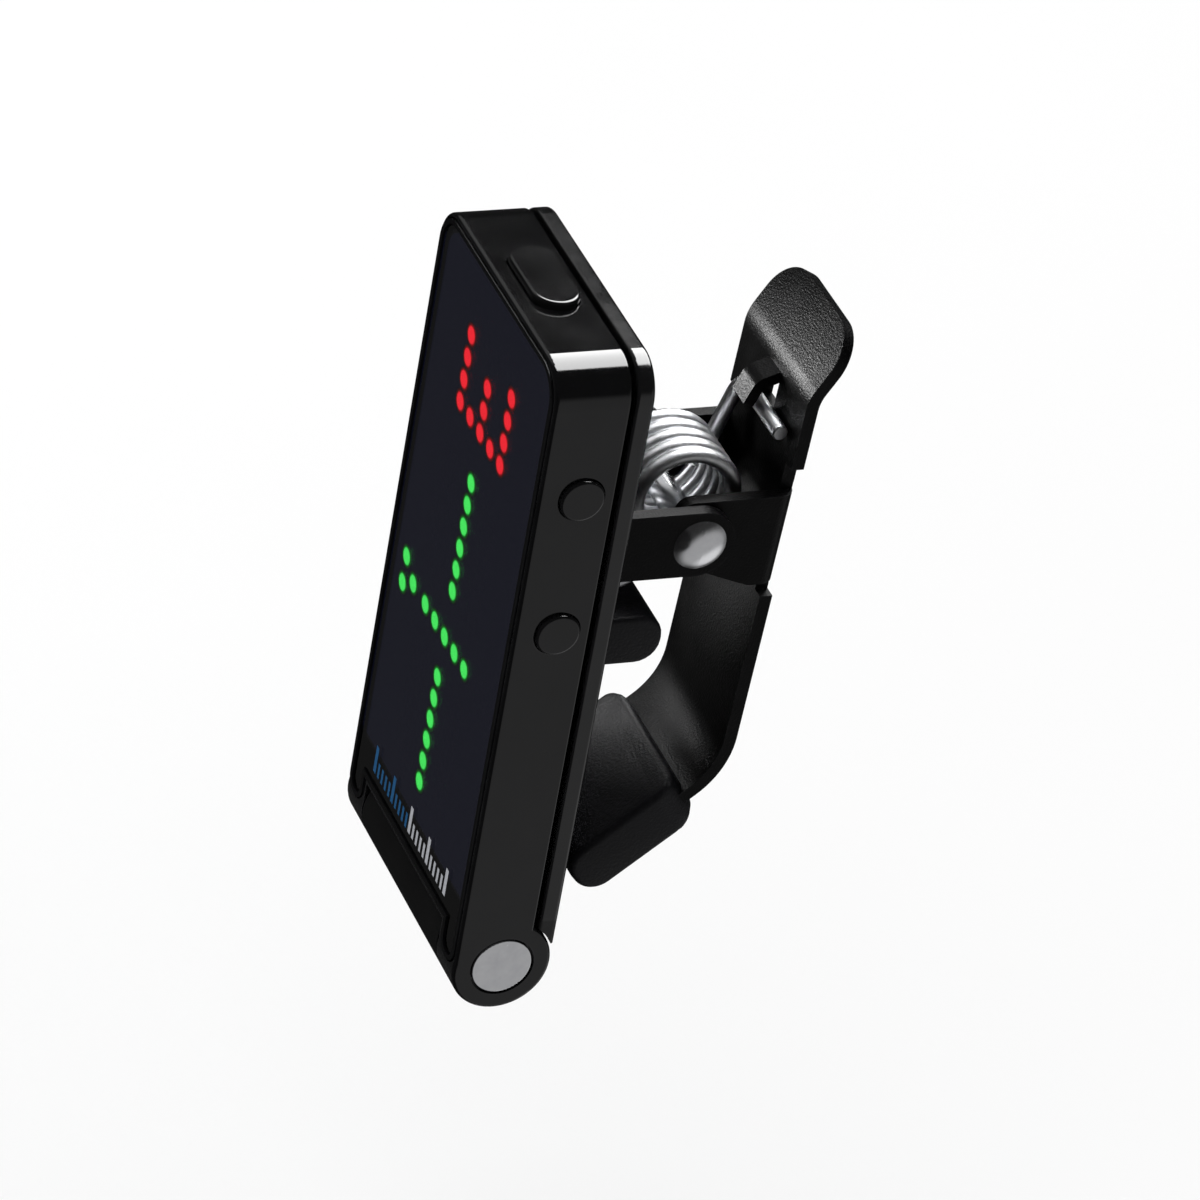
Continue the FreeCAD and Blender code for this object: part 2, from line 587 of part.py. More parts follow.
def pivot_pin():
    """Riveted pin with a domed head outside each bracket ear."""
    x0 = BRACKET_HALF + 0.03
    shank = rod_x(PIVOT_R, -x0, x0, PIVOT_Y, PIVOT_Z)
    sphere_r = (HEAD_R ** 2 + RIVET_DOME ** 2) / (2 * RIVET_DOME)
    heads = []
    for side in (-1, 1):
        centre = V(side * (x0 + RIVET_DOME - sphere_r), PIVOT_Y, PIVOT_Z)
        a, b = sorted((side * x0, side * (x0 + 2)))
        heads.append(Part.makeSphere(sphere_r, centre).common(rod_x(HEAD_R, a, b, PIVOT_Y, PIVOT_Z)))
    return fuse([shank] + heads)


def offset_strip(centre_line, thickness, x0, x1, bend_radii):
    """Bent sheet: the (y, z) centre line given a thickness, its bends rounded."""
    half = 0.5 * thickness
    sides = {1: [], -1: []}
    count = len(centre_line)
    for i, (y, z) in enumerate(centre_line):
        before = centre_line[max(i - 1, 0)]
        after = centre_line[min(i + 1, count - 1)]
        into = V(0, y - before[0], z - before[1])
        out = V(0, after[0] - y, after[1] - z)
        directions = [d.normalize() for d in (into, out) if d.Length > 1e-9]
        along = (directions[0] + directions[-1]).normalize()
        reach = half / max(along.dot(directions[0]), 0.2)
        normal = V(0, -along.z, along.y)
        for side in sides:
            sides[side].append((y + side * reach * normal.y, z + side * reach * normal.z))
    body = profile_yz(sides[1] + sides[-1][::-1], x0, x1)
    for i, radius in bend_radii.items():
        left, right = sides[1][i], sides[-1][i]
        into = V(0, centre_line[i][0] - centre_line[i - 1][0], centre_line[i][1] - centre_line[i - 1][1])
        out = V(0, centre_line[i + 1][0] - centre_line[i][0], centre_line[i + 1][1] - centre_line[i][1])
        turns_left = into.cross(out).x > 0
        for point, is_left in ((left, True), (right, False)):
            inner = is_left == turns_left
            bend = radius - half if inner else radius + half
            edges = lines_along(body, V(1, 0, 0),
                                lambda p: abs(p.y - point[0]) < 0.02 and abs(p.z - point[1]) < 0.02)
            body = body.makeFillet(bend, edges)
    return body


def boot_point(along, across):
    """(y, z) at a distance along the lever boot's axis and across it."""
    angle = math.radians(BOOT_SLOPE_DEG)
    return (BOOT_CENTRE[0] + along * math.cos(angle) - across * math.sin(angle),
            BOOT_CENTRE[1] + along * math.sin(angle) + across * math.cos(angle))


def lever_strap():
    """The lever's sheet before its flanges: tip in the boot, lower bend, back, thumb tab."""
    line = [boot_point(-BOOT_LOW + 1.2, 0.2), STRAP_LOW, STRAP_HIGH, THUMB_END]
    body = offset_strip(line, SHEET, -LEVER_HALF, LEVER_HALF, STRAP_BENDS)
    thumb_corners = [e for e in body.Edges if e.BoundBox.XLength < 1e-6
                     and e.BoundBox.ZMin > 48.0 and e.Length < 1.5 * SHEET]
    body = body.makeFillet(THUMB_R, thumb_corners)
    turn = FreeCAD.Rotation(V(1, 0, 0), BOOT_SLOPE_DEG - 90)
    beside_tip = box(LEVER_TIP_HALF, LEVER_HALF + 1, -6, 6, -BOOT_LOW - 4, BOOT_HIGH - 1.2)
    beside_tip.Placement = FreeCAD.Placement(V(0, BOOT_CENTRE[0], BOOT_CENTRE[1]), turn)
    notches = [beside_tip]
    for low, high in ((RELIEF_LOW_Z, FLANGE_LOW_Z), (FLANGE_TOP_Z, RELIEF_TOP_Z)):
        notches.append(box(LEVER_HALF - SHEET, LEVER_HALF + 1, 15, 23, low, high))
    for notch in notches:
        body = body.cut(notch).cut(mirror_x(notch))
    return body


def lever_ear():
    """Side flange of the lever, from the strap forward to the pivot."""
    outline = [(18.95, FLANGE_TOP_Z), (10.4, FLANGE_TOP_Z), (10.4, 31.6), (11.7, 30.45),
               (16.9, FLANGE_LOW_Z), (18.65, FLANGE_LOW_Z)]
    ear = profile_yz(outline, LEVER_HALF - SHEET, LEVER_HALF)
    front = lines_along(ear, V(1, 0, 0), lambda p: p.y < 10.5)
    return ear.makeFillet(1.15, front)


def fold_rounding():
    """What the bend between strap and flange takes off the square rear corner."""
    (low_y, low_z), (high_y, high_z) = STRAP_LOW, STRAP_HIGH
    lean = math.atan2(high_y - low_y, high_z - low_z)
    rear = 0.5 * SHEET
    x, y = LEVER_HALF - FOLD_R, rear - FOLD_R
    past_end = 0.6
    z0, z1 = FLANGE_LOW_Z - past_end - low_z, FLANGE_TOP_Z + past_end - low_z
    corner = box(x, x + FOLD_R + 1, y, y + FOLD_R + 1, z0, z1)
    corner = corner.cut(Part.makeCylinder(FOLD_R, z1 - z0, V(x, y, z0)))
    corner.Placement = FreeCAD.Placement(V(0, low_y, low_z),
                                         FreeCAD.Rotation(V(1, 0, 0), -math.degrees(lean)))
    return corner


def clip_lever():
    strap = lever_strap()
    ear = lever_ear()
    body = fuse([strap, ear, mirror_x(ear)])
    fold = fold_rounding()
    body = body.cut(fold).cut(mirror_x(fold))
    window = box(-WINDOW_HALF, WINDOW_HALF, 17.0, 21.0, WINDOW_Z[0], WINDOW_Z[1])
    tongue = offset_strip(TONGUE, TONGUE_THICK, -TONGUE_HALF, TONGUE_HALF, {1: TONGUE_THICK})
    body = body.cut(window).fuse(tongue)
    body = body.cut(rod_x(PIVOT_R + 0.05, -10, 10, PIVOT_Y, PIVOT_Z))
    return body.removeSplitter()


def lever_jaw_boot():
    """Rubber boot over the lever's tip, its corners and edges well rounded."""
    low, high, thick = BOOT_LOW, BOOT_HIGH, BOOT_HALF_THICK
    body = box(-JAW_HALF, JAW_HALF, -thick, thick, -low, high)
    across = V(1, 0, 0)
    rounded = ((BOOT_NOSE_R, lambda p: p.z < -low + 0.01),
               (BOOT_ROOT_R, lambda p: p.z > high - 0.01 and p.y > 0),
               (BOOT_ROOT_FRONT_R, lambda p: p.z > high - 0.01 and p.y < 0))
    for radius, keep in rounded:
        body = body.makeFillet(radius, lines_along(body, across, keep))
    sides = [e for e in body.Edges
             if e.BoundBox.XLength < 1e-6 and abs(abs(e.BoundBox.XMin) - JAW_HALF) < 1e-6]
    body = body.makeFillet(BOOT_SIDE_R, sides)
    turn = FreeCAD.Rotation(V(1, 0, 0), BOOT_SLOPE_DEG - 90)
    body.Placement = FreeCAD.Placement(V(0, BOOT_CENTRE[0], BOOT_CENTRE[1]), turn)
    return body.cut(lever_strap())


def torsion_spring():
    """Close coil over the pivot pin; one arm bears on the base, one hooks on the lever."""
    start, end = math.radians(LOWER_LEAVE_DEG - 360), math.radians(UPPER_LEAVE_DEG)
    sweep = end - start + 2 * math.pi * COIL_TURNS
    drift = COIL_PITCH / (2 * math.pi)
    first_x = COIL_X + 0.5 * drift * sweep
    segments = int(COIL_STEPS * sweep / (2 * math.pi))

    def on_coil(angle):
        return V(first_x - drift * (angle - start), COIL_Y + COIL_R * math.cos(angle),
                 COIL_Z + COIL_R * math.sin(angle))

    def tangent(angle):
        return V(-drift, -COIL_R * math.sin(angle), COIL_R * math.cos(angle)).normalize()

    def segment(first, last):
        curve = Part.BSplineCurve()
        curve.interpolate(Points=[on_coil(first + (last - first) * i / 5) for i in range(6)],
                          InitialTangent=tangent(first), FinalTangent=tangent(last))
        return curve.toShape()

    turns = [start + sweep * i / segments for i in range(segments + 1)]
    lower_end = on_coil(start) - tangent(start) * LOWER_ARM
    rise = tangent(start + sweep)
    corner = on_coil(start + sweep) + rise * UPPER_ARM
    bend_in = corner - rise * HOOK_BEND_R
    bend_out = corner + V(HOOK_BEND_R, 0, 0)
    bend_mid = corner + (V(1, 0, 0) - rise) * (HOOK_BEND_R * (1 - math.sqrt(0.5)))
    hook_end = V(HOOK_END_X, corner.y, corner.z)
    path = Part.Wire(
        [Part.makeLine(lower_end, on_coil(start))]
        + [segment(first, last) for first, last in zip(turns, turns[1:])]
        + [Part.makeLine(on_coil(start + sweep), bend_in),
           Part.Arc(bend_in, bend_mid, bend_out).toShape(),
           Part.makeLine(bend_out, hook_end)])
    section = Part.Wire(Part.makeCircle(WIRE_R, lower_end, tangent(start)))
    return path.makePipeShell([section], True, False)


def sub_parts():
    red, green, dark = dot_places()
    return {
        "display_housing": display_housing(),
        "front_bezel": front_bezel(),
        "display_lens": display_lens(),
        "light_mask": light_mask(),
        "light_dots_red": light_dots(red),
        "light_dots_green": light_dots(green),
        "light_dots_unlit": light_dots(dark),
        "circuit_board": circuit_board(),
        "circuit_chips": circuit_chips(),
        "circuit_board_screws": circuit_board_screws(),
        "side_switches": side_switches(),
        "power_switch": power_switch(),
        "piezo_disc": piezo_disc(),
        "coin_cell": coin_cell(),
        "negative_contact": negative_contact(),
        "positive_contact": positive_contact(),
        "battery_cover": battery_cover(),
        "power_button": power_button(),
        "upper_side_button": side_button(SIDE_KEY_Z[0]),
        "lower_side_button": side_button(SIDE_KEY_Z[1]),
        "hinge_pin": hinge_pin(),
        "hinge_caps": hinge_caps(),
        "hinge_washers": hinge_washers(),
        "friction_sleeves": friction_sleeves(),
        "back_plate": back_plate(),
        "bracket_rivets": bracket_rivets(),
        "clip_bracket": clip_bracket(),
        "fixed_jaw_pad": fixed_jaw_pad(),
        "pivot_pin": pivot_pin(),
        "torsion_spring": torsion_spring(),
        "clip_lever": clip_lever(),
        "lever_jaw_boot": lever_jaw_boot(),
    }


os.makedirs("parts", exist_ok=True)
for name, shape in sub_parts().items():
    shape.translate(V(0, 0, 0) - ORIGIN)
    shape.exportStep("parts/" + name + ".step")
    solids = len(shape.Solids)
    print(f"{name:22s} solids {solids:3d}  valid {shape.isValid()}  volume {shape.Volume:9.2f} mm3")
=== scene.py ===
import json
import math

import bmesh
import bpy
from mathutils import Matrix, Vector


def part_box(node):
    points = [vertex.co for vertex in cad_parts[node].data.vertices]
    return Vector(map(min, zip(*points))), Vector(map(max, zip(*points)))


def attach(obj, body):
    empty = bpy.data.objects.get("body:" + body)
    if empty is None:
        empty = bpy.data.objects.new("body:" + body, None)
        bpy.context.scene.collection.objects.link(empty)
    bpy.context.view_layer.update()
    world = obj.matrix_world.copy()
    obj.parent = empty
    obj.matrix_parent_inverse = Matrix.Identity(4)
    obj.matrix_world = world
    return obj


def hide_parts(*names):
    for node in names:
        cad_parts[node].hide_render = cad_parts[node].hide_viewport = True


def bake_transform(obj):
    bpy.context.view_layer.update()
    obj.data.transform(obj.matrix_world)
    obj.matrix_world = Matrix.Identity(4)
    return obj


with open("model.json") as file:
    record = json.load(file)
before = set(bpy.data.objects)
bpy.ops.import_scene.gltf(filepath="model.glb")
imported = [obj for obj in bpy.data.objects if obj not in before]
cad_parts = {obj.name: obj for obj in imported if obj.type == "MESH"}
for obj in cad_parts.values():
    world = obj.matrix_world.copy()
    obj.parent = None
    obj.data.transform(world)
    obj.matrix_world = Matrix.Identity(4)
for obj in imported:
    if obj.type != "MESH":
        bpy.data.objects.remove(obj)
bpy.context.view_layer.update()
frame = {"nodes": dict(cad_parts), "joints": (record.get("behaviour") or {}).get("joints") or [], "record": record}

MM = 0.001
PIN = Vector(next(joint["pos_m"] for joint in frame["joints"] if joint["name"] == "display_tilt"))


def at(x, y, z):
    """A point in the row frame, from millimetres out from the hinge pin's centre."""
    return PIN + Vector((x, y, z)) * MM


def heading(azimuth, elevation):
    """Unit vector; azimuth 0 is -Y and 90 is +X, in degrees."""
    a, e = math.radians(azimuth), math.radians(elevation)
    return Vector((math.sin(a) * math.cos(e), -math.cos(a) * math.cos(e), math.sin(e)))


# ---------------------------------------------------------------- node helpers
NOISE = (0.3, 0.7)           # range that most of a noise's values fall in
EDGE_R = 0.22                # width of a worn edge, mm
GRAIN_DEPTH = 0.05           # depth that a bump strength of 1 stands for, mm
DULL_FADE = 0.5              # height over which a dull lower end sets in, mm
DULL_ROUGH = 0.45            # roughness it adds


class Graph:
    """Small wrapper that adds nodes and links to one tree."""

    def __init__(self, tree):
        self.tree = tree

    def node(self, kind, inputs=None, **settings):
        made = self.tree.nodes.new(kind)
        for key, value in settings.items():
            setattr(made, key, value)
        for key, value in (inputs or {}).items():
            self.feed(made.inputs[key], value)
        return made

    def feed(self, socket, value):
        if isinstance(value, bpy.types.NodeSocket):
            self.tree.links.new(value, socket)
        else:
            socket.default_value = value

    def math(self, operation, a, b=0.0):
        return self.node("ShaderNodeMath", {0: a, 1: b}, operation=operation).outputs[0]

    def remap(self, value, low, high, to_low=0.0, to_high=1.0, smooth=False):
        made = self.node("ShaderNodeMapRange",
                         {"Value": value, "From Min": low, "From Max": high,
                          "To Min": to_low, "To Max": to_high})
        if smooth:
            made.interpolation_type = "SMOOTHSTEP"
        return made.outputs["Result"]

    def noise(self, scale, detail=3.0, roughness=0.5, stretch=None):
        """Noise in the row frame; scale is in features per metre."""
        place = self.node("ShaderNodeTexCoord").outputs["Object"]
        if stretch:
            place = self.node("ShaderNodeMapping", {"Vector": place, "Scale": stretch}).outputs[0]
        made = self.node("ShaderNodeTexNoise",
                         {"Vector": place, "Scale": scale, "Detail": detail, "Roughness": roughness})
        return made.outputs["Fac"]

    def blend(self, share, first, second):
        made = self.node("ShaderNodeMix", data_type="RGBA")
        self.feed(made.inputs["Factor"], share)
        self.feed(made.inputs[6], first)
        self.feed(made.inputs[7], second)
        return made.outputs[2]


def rgba(colour):
    return (colour[0], colour[1], colour[2], 1.0)


def new_material(name):
    made = bpy.data.materials.new(name)
    made.use_nodes = True
    graph = Graph(made.node_tree)
    return made, graph, made.node_tree.nodes["Principled BSDF"]


def edge_mask(graph, radius):
    """1 along convex and concave edges, 0 on open faces."""
    soft = graph.node("ShaderNodeBevel", {"Radius": radius}, samples=4).outputs[0]
    true = graph.node("ShaderNodeNewGeometry").outputs["Normal"]
    same = graph.node("ShaderNodeVectorMath", {0: soft, 1: true}, operation="DOT_PRODUCT")
    return graph.remap(same.outputs["Value"], 0.995, 0.88)


def surface(name, base, second, rough, grain_mm, bump, patch_mm=4.0, rough_spread=0.05,
            wear=None, wear_rough=0.0, grain_detail=3.0, dull_below=None, **sockets):
    """General surface: mottled colour, uneven roughness, fine grain, worn edges, a dull lower end."""
    made, graph, shader = new_material(name)
    patches = graph.noise(1.0 / (patch_mm * MM), 4.0, 0.6)
    grain = graph.noise(1.0 / (grain_mm * MM), grain_detail, 0.6)
    colour = graph.blend(graph.remap(patches, *NOISE), rgba(base), rgba(second))
    roughness = graph.remap(patches, *NOISE, rough - rough_spread, rough + rough_spread)
    if wear:
        rubbed = graph.math("MULTIPLY", edge_mask(graph, EDGE_R * MM), graph.remap(patches, 0.42, 0.6))
        colour = graph.blend(rubbed, colour, rgba(wear))
        roughness = graph.math("ADD", roughness, graph.math("MULTIPLY", rubbed, wear_rough))
    if dull_below is not None:
        height = graph.node("ShaderNodeTexCoord").outputs["Object"]
        height = graph.node("ShaderNodeSeparateXYZ", {0: height}).outputs[2]
        dull = graph.remap(height, dull_below, dull_below - DULL_FADE * MM, 0.0, DULL_ROUGH, smooth=True)
        roughness = graph.math("ADD", roughness, dull)
    graph.feed(shader.inputs["Base Color"], colour)
    graph.feed(shader.inputs["Roughness"], roughness)
    relief = graph.node("ShaderNodeBump",
                        {"Height": grain, "Strength": bump, "Distance": GRAIN_DEPTH * MM})
    graph.feed(shader.inputs["Normal"], relief.outputs[0])
    for socket, value in sockets.items():
        shader.inputs[socket.replace("_", " ")].default_value = value
    return made


# ---------------------------------------------------------------- materials
def spec(value):
    return {"Specular_IOR_Level": value}


def painted_navy_glow():
    """Painted light: a faint navy glow given off by the passive sheet behind the lens and by the unlit points."""
    return {"Emission_Color": (0.0055, 0.0065, 0.017, 1.0), "Emission_Strength": 1.0}


def metal(name, base, second, rough, grain_mm, bump, **more):
    return surface(name, base, second, rough, grain_mm, bump, Metallic=1.0, **more)


def glass_lens():
    """Smoked acrylic, with faint smears in its gloss."""
    made, graph, shader = new_material("smoked_lens")
    smears = graph.noise(1.0 / (6 * MM), 5.0, 0.65, (1.0, 1.0, 0.35))
    graph.feed(shader.inputs["Roughness"], graph.remap(smears, 0.4, 0.8, 0.015, 0.035))
    graph.feed(shader.inputs["Base Color"],
               graph.blend(smears, rgba((0.49, 0.49, 0.58)), rgba((0.52, 0.52, 0.61))))
    shader.inputs["Transmission Weight"].default_value = 1.0
    shader.inputs["IOR"].default_value = 1.42
    return made


def led(name, core, rim, strength):
    """Light diffuser, brightest in its middle; the mesh's glow value falls to its edge."""
    made, graph, shader = new_material(name)
    glow = graph.node("ShaderNodeAttribute", attribute_name="glow").outputs["Fac"]
    speckle = graph.noise(1.0 / (0.12 * MM), 2.0)
    lit = graph.math("MULTIPLY", glow, graph.remap(speckle, *NOISE, 0.92, 1.06))
    graph.feed(shader.inputs["Emission Color"],
               graph.blend(graph.remap(glow, 0.55, 1.0, smooth=True), rgba(rim), rgba(core)))
    graph.feed(shader.inputs["Emission Strength"], graph.math("MULTIPLY", lit, strength))
    graph.feed(shader.inputs["Base Color"],
               graph.blend(glow, rgba((0.004, 0.004, 0.007)), rgba(tuple(0.3 * c for c in core))))
    graph.feed(shader.inputs["Roughness"], graph.remap(speckle, *NOISE, 0.35, 0.55))
    return made


def printed_ink(split_x):
    """Two inks on the lens, blue to the left of split_x and white to its right."""
    made, graph, shader = new_material("printed_ink")
    place = graph.node("ShaderNodeTexCoord").outputs["Object"]
    across = graph.node("ShaderNodeSeparateXYZ", {0: place}).outputs[0]
    side = graph.remap(across, split_x - 0.05 * MM, split_x + 0.05 * MM)
    ink = graph.blend(side, rgba((0.006, 0.085, 0.22)), rgba((0.42, 0.43, 0.46)))
    thin = graph.noise(1.0 / (0.25 * MM), 3.0)
    graph.feed(shader.inputs["Base Color"],
               graph.blend(graph.remap(thin, 0.35, 0.75, 0.0, 0.3), ink, rgba((0.02, 0.02, 0.03))))
    graph.feed(shader.inputs["Roughness"], graph.remap(thin, *NOISE, 0.35, 0.5))
    shader.inputs["Specular IOR Level"].default_value = 0.2
    return made


def laminate():
    """Solder-masked board with copper tracks showing through."""
    made, graph, shader = new_material("board_laminate")
    place = graph.node("ShaderNodeTexCoord").outputs["Object"]
    tracks = graph.node("ShaderNodeTexBrick", {"Vector": place, "Scale": 420.0, "Mortar Size": 0.03,
                                               "Color1": rgba((0.008, 0.07, 0.03)),
                                               "Color2": rgba((0.01, 0.09, 0.035)),
                                               "Mortar": rgba((0.03, 0.2, 0.07))})
    graph.feed(shader.inputs["Base Color"], tracks.outputs["Color"])
    graph.feed(shader.inputs["Roughness"], graph.remap(graph.noise(3000.0), *NOISE, 0.3, 0.45))
    relief = graph.node("ShaderNodeBump", {"Height": tracks.outputs["Fac"], "Strength": 0.4,
                                           "Distance": 0.04 * MM})
    graph.feed(shader.inputs["Normal"], relief.outputs[0])
    return made


PLATE_DULL_BELOW = 4.2       # the plate's paint is dull below this height over the hinge pin, mm

MATERIALS = {
    "housing_plastic": surface(
        "moulded_black", (0.0022, 0.0022, 0.0024), (0.0034, 0.0034, 0.0037),
        rough=0.085, grain_mm=0.10, bump=0.03, patch_mm=5.0, rough_spread=0.02,
        wear=(0.012, 0.012, 0.013), wear_rough=0.12, **spec(0.42)),
    "bezel_plastic": surface(
        "gloss_rim", (0.002, 0.002, 0.0024), (0.003, 0.003, 0.0036),
        rough=0.3, grain_mm=0.12, bump=0.05, patch_mm=3.0, rough_spread=0.04,
        wear=(0.008, 0.008, 0.009), wear_rough=0.1, **spec(0.12)),
    "lens": glass_lens(),
    # the mask sheet gives off a painted navy glow, though it is no lamp
    "mask_black": surface(
        "mask_sheet", (0.004, 0.004, 0.007), (0.005, 0.005, 0.009),
        rough=0.75, grain_mm=0.08, bump=0.1, **painted_navy_glow(), **spec(0.05)),
    # the unlit points give off the same painted navy glow, which hides them against the sheet
    "light_off": surface(
        "unlit_diffuser", (0.004, 0.004, 0.007), (0.005, 0.005, 0.009),
        rough=0.75, grain_mm=0.1, bump=0.1, **painted_navy_glow(), **spec(0.05)),
    "board_green": laminate(),
    "chip_black": surface(
        "chip_epoxy", (0.01, 0.01, 0.01), (0.018, 0.018, 0.018), rough=0.55, grain_mm=0.06, bump=0.3),
    "zinc_steel": metal(
        "zinc_steel", (0.52, 0.52, 0.52), (0.66, 0.66, 0.64),
        rough=0.32, grain_mm=0.08, bump=0.15, patch_mm=0.6),
    "switch_body": surface(
        "switch_plastic", (0.03, 0.03, 0.03), (0.045, 0.045, 0.045), rough=0.4, grain_mm=0.07, bump=0.2),
    "brass": metal(
        "bare_brass", (0.68, 0.5, 0.22), (0.6, 0.42, 0.2), rough=0.28, grain_mm=0.1, bump=0.1),
    "cell_steel": metal(
        "nickel_can", (0.62, 0.62, 0.6), (0.7, 0.7, 0.68), rough=0.22, grain_mm=0.1, bump=0.08),
    "contact_metal": metal(
        "gold_leaf", (0.75, 0.6, 0.3), (0.8, 0.66, 0.38), rough=0.25, grain_mm=0.1, bump=0.1),
    "key_plastic": surface(
        "soft_touch_key", (0.0022, 0.0022, 0.0024), (0.0034, 0.0034, 0.0037),
        rough=0.10, grain_mm=0.07, bump=0.04, patch_mm=3.0, rough_spread=0.02,
        wear=(0.012, 0.012, 0.013), wear_rough=0.1, **spec(0.42)),
    "polished_steel": metal(
        "polished_steel", (0.66, 0.665, 0.69), (0.74, 0.745, 0.76),
        rough=0.17, grain_mm=0.09, bump=0.05, patch_mm=1.2, rough_spread=0.04),
    "nylon": surface(
        "natural_nylon", (0.62, 0.6, 0.54), (0.7, 0.68, 0.62),
        rough=0.45, grain_mm=0.1, bump=0.1, Subsurface_Weight=0.1),
    "plate_paint": surface(
        "satin_paint", (0.0035, 0.0035, 0.0038), (0.005, 0.005, 0.0054),
        rough=0.13, grain_mm=0.12, bump=0.05, patch_mm=4.0, rough_spread=0.03,
        wear=(0.014, 0.014, 0.015), wear_rough=0.1,
        dull_below=at(0, 0, PLATE_DULL_BELOW).z, **spec(0.5)),
    "powder_coat": surface(
        "powder_coat", (0.0010, 0.0010, 0.0011), (0.0018, 0.0018, 0.0019),
        rough=0.32, grain_mm=0.16, bump=0.55, patch_mm=3.0, rough_spread=0.04,
        wear=(0.007, 0.007, 0.0075), grain_detail=1.5, **spec(0.07)),
    "jaw_rubber": surface(
        "jaw_rubber", (0.0034, 0.0034, 0.0042), (0.0055, 0.0055, 0.0068),
        rough=0.46, grain_mm=0.22, bump=1.0, patch_mm=2.5, rough_spread=0.06,
        wear=(0.008, 0.008, 0.0095), grain_detail=2.5, **spec(0.14)),
    "spring_zinc": metal(
        "zinc_wire", (0.62, 0.62, 0.63), (0.50, 0.51, 0.53),
        rough=0.42, grain_mm=0.12, bump=0.12, patch_mm=0.8, rough_spread=0.05),
}
MATERIALS["light_red"] = led("lit_red", (1.0, 0.018, 0.028), (0.55, 0.002, 0.004), 2.15)
MATERIALS["light_green"] = led("lit_green", (0.075, 1.0, 0.12), (0.002, 0.42, 0.02), 2.0)

SLOT_OF = {row["node"]: row["material_slot"] for row in frame["record"]["subparts"]}
for node_name, node_object in frame["nodes"].items():
    node_object.data.materials.clear()
    node_object.data.materials.append(MATERIALS[SLOT_OF[node_name]])


# ---------------------------------------------------------------- mesh helpers
def add_piece(name, mesh_builder, slot, sharp_deg=35.0):
    """Object from a bmesh, smooth shaded, with its slot's material."""
    mesh = bpy.data.meshes.new(name)
    bmesh.ops.recalc_face_normals(mesh_builder, faces=mesh_builder.faces)
    mesh_builder.to_mesh(mesh)
    mesh_builder.free()
    for polygon in mesh.polygons:
        polygon.use_smooth = True
    mesh.set_sharp_from_angle(angle=math.radians(sharp_deg))
    mesh.materials.append(MATERIALS[slot])
    made = bpy.data.objects.new(name, mesh)
    bpy.context.scene.collection.objects.link(made)
    return made


def bridge(builder, first, second):
    """Faces between two closed rings of the same number of points."""
    count = len(first)
    for i in range(count):
        j = (i + 1) % count
        builder.faces.new((first[i], first[j], second[j], second[i]))


def tube(builder, path, radius, sides=24, chamfer=0.0):
    """Round wire along a path of points, closed at both ends."""
    rings = []
    across = None
    last = len(path) - 1
    for i, point in enumerate(path):
        along = (path[min(i + 1, last)] - path[max(i - 1, 0)]).normalized()
        if across is None:
            across = along.orthogonal().normalized()
        across = (across - along * across.dot(along)).normalized()
        upright = along.cross(across)
        sizes = [radius]
        shifts = [0.0]
        if chamfer and i in (0, last):
            sizes = [radius - chamfer, radius] if i == 0 else [radius, radius - chamfer]
            shifts = [0.0, chamfer] if i == 0 else [-chamfer, 0.0]
        for size, shift in zip(sizes, shifts):
            ring = []
            for k in range(sides):
                turn = 2 * math.pi * k / sides
                offset = across * math.cos(turn) + upright * math.sin(turn)
                ring.append(builder.verts.new(point + along * shift + offset * size))
            rings.append(ring)
    for first, second in zip(rings, rings[1:]):
        bridge(builder, first, second)
    builder.faces.new(rings[0])
    builder.faces.new(rings[-1])


def rounded_outline(corners, steps=10):
    """(y, z) outline with each corner (y, z, radius) turned into an arc."""
    outline = []
    count = len(corners)
    for i, (y, z, radius) in enumerate(corners):
        here = Vector((y, z))
        to_last = (Vector(corners[i - 1][:2]) - here).normalized()
        to_next = (Vector(corners[(i + 1) % count][:2]) - here).normalized()
        if radius <= 0:
            outline.append(here)
            continue
        half = 0.5 * to_last.angle(to_next)
        centre = here + (to_last + to_next).normalized() * (radius / math.sin(half))
        start = here + to_last * (radius / math.tan(half)) - centre
        end = here + to_next * (radius / math.tan(half)) - centre
        swing = start.angle(end)
        for k in range(steps + 1):
            share = k / steps
            if swing < 1e-6:
                outline.append(centre + start)
            else:
                mixed = (start * math.sin((1 - share) * swing) + end * math.sin(share * swing))
                outline.append(centre + mixed / math.sin(swing))
    return outline


def resampled(outline, spacing):
    """The same closed outline with extra points on its long runs."""
    dense = []
    for i, point in enumerate(outline):
        following = outline[(i + 1) % len(outline)]
        parts = max(1, int((following - point).length / spacing))
        dense += [point.lerp(following, k / parts) for k in range(parts)]
    return dense


def inward(outline, distance):
    """The outline moved inward by distance, for a counter-clockwise outline."""
    area = sum(a.x * b.y - b.x * a.y for a, b in zip(outline, outline[1:] + outline[:1]))
    sign = 1.0 if area > 0 else -1.0
    moved = []
    for i, point in enumerate(outline):
        run = (outline[(i + 1) % len(outline)] - outline[i - 1]).normalized()
        moved.append(point + Vector((-run.y, run.x)) * sign * distance)
    return moved


EDGE_STEPS = 6               # facets in a prism's rounded end edge
SHARP_RUBBER_DEG = 60.0      # rubber is shaded smooth over edges up to this angle


